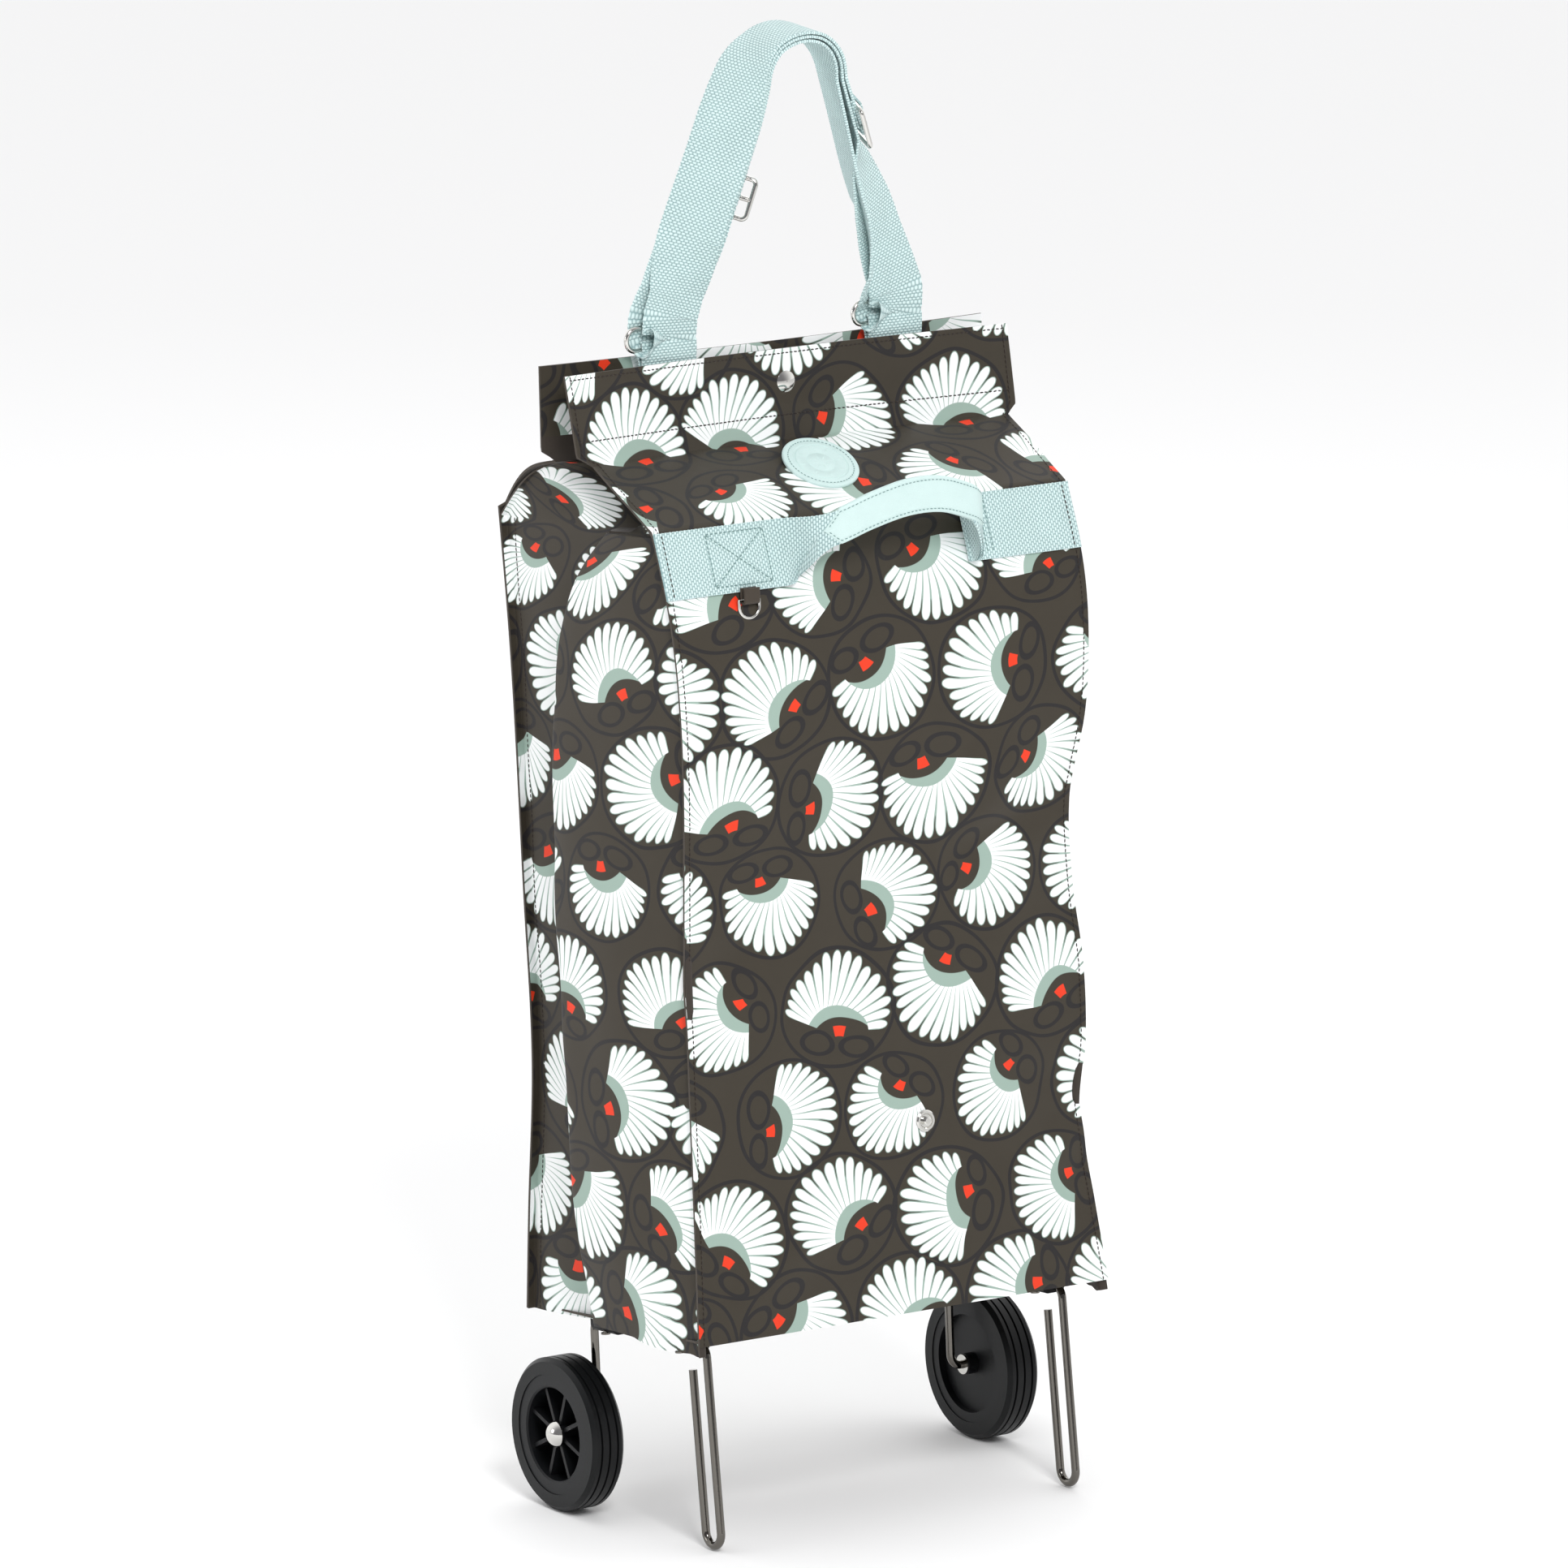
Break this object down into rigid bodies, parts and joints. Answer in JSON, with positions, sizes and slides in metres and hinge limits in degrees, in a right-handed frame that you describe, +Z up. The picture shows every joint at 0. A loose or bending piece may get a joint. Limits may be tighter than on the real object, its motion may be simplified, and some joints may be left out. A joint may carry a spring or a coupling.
{
  "type": "shopping trolley",
  "caption": "Folding fabric shopping trolley: gable-topped printed bag on two fold-in wire side frames with rear wheels, a grab handle and an adjustable pull strap.",
  "frame": {"origin": "middle of the footprint on the ground", "axes": "+Z up, front of the bag towards -Y, left side at -X"},
  "size_m": [0.3256, 0.2115, 0.8755],
  "materials": {
    "printed_fabric": "matt coated cotton with a blossom print",
    "base_board": "matt",
    "webbing": "matt woven",
    "leather_trim": "satin",
    "nickel": "bright",
    "black_nickel_wire": "bright dark",
    "clip_plastic": "satin",
    "hub_plastic": "satin",
    "tyre_rubber": "satin"
  },
  "bodies": {
    "root": {"base_board": "base_board", "bottom_panel": "printed_fabric", "front_panel": "printed_fabric", "back_panel": "printed_fabric", "left_gusset": "printed_fabric", "right_gusset": "printed_fabric", "left_gusset_top": "printed_fabric", "right_gusset_top": "printed_fabric", "back_slope": "printed_fabric", "back_collar": "printed_fabric", "snap_stud": "nickel", "left_band": "webbing", "right_band": "webbing", "grab_handle": "webbing", "handle_grip": "leather_trim", "d_ring_tab": "printed_fabric", "lower_snap": "nickel", "left_strap_tab": "webbing", "right_strap_tab": "webbing", "front_left_clip": "clip_plastic", "rear_left_clip": "clip_plastic", "front_right_clip": "clip_plastic", "rear_right_clip": "clip_plastic", "clip_rivets": "black_nickel_wire"},
    "front_flap": {"front_slope": "printed_fabric", "front_collar": "printed_fabric", "badge": "leather_trim", "snap_cap": "nickel", "snap_socket": "nickel"},
    "left_frame": {"left_frame_wire": "black_nickel_wire", "left_washer": "nickel", "left_axle_cap": "nickel"},
    "right_frame": {"right_frame_wire": "black_nickel_wire", "right_washer": "nickel", "right_axle_cap": "nickel"},
    "left_wheel": {"left_hub": "hub_plastic", "left_tyre": "tyre_rubber"},
    "right_wheel": {"right_hub": "hub_plastic", "right_tyre": "tyre_rubber"},
    "pull_strap": {"strap_webbing": "webbing", "left_strap_loop": "webbing", "right_strap_loop": "webbing", "left_ring": "nickel", "right_ring": "nickel"},
    "left_adjuster": {"left_slider": "nickel"},
    "right_adjuster": {"right_slider": "nickel"},
    "key_ring": {"d_ring": "nickel"}
  },
  "joints": [
    {"name": "flap_open", "type": "hinge", "parent": "root", "child": "front_flap", "pos_m": [0, -0.05076, 0.60255], "axis": [1, 0, 0], "range_deg": [0, 55]},
    {"name": "left_frame_fold", "type": "hinge", "parent": "root", "child": "left_frame", "pos_m": [-0.127, -0.01701, 0.11508], "axis": [0, -0.9966, 0.0828], "range_deg": [0, 90]},
    {"name": "right_frame_fold", "type": "hinge", "parent": "root", "child": "right_frame", "pos_m": [0.127, -0.01701, 0.11508], "axis": [0, 0.9966, -0.0828], "range_deg": [0, 90]},
    {"name": "left_wheel_spin", "type": "hinge", "parent": "left_frame", "child": "left_wheel", "pos_m": [-0.149, 0.02942, 0.046], "axis": [1, 0, 0], "continuous": true},
    {"name": "right_wheel_spin", "type": "hinge", "parent": "right_frame", "child": "right_wheel", "pos_m": [0.149, 0.02942, 0.046], "axis": [1, 0, 0], "continuous": true},
    {"name": "strap_swing", "type": "hinge", "parent": "root", "child": "pull_strap", "pos_m": [0, 0.03294, 0.69092], "axis": [1, 0, 0], "range_deg": [-90, 50]},
    {"name": "left_slider_slide", "type": "slide", "parent": "pull_strap", "child": "left_adjuster", "axis": [0.3259, -0.0371, 0.9447], "range_m": [-0.008, 0.008]},
    {"name": "right_slider_slide", "type": "slide", "parent": "pull_strap", "child": "right_adjuster", "axis": [-0.3259, -0.0371, 0.9447], "range_m": [-0.008, 0.008]},
    {"name": "d_ring_swing", "type": "hinge", "parent": "root", "child": "key_ring", "pos_m": [-0.091, -0.07066, 0.56005], "axis": [-1, 0, 0], "range_deg": [0, 150]}
  ]
}
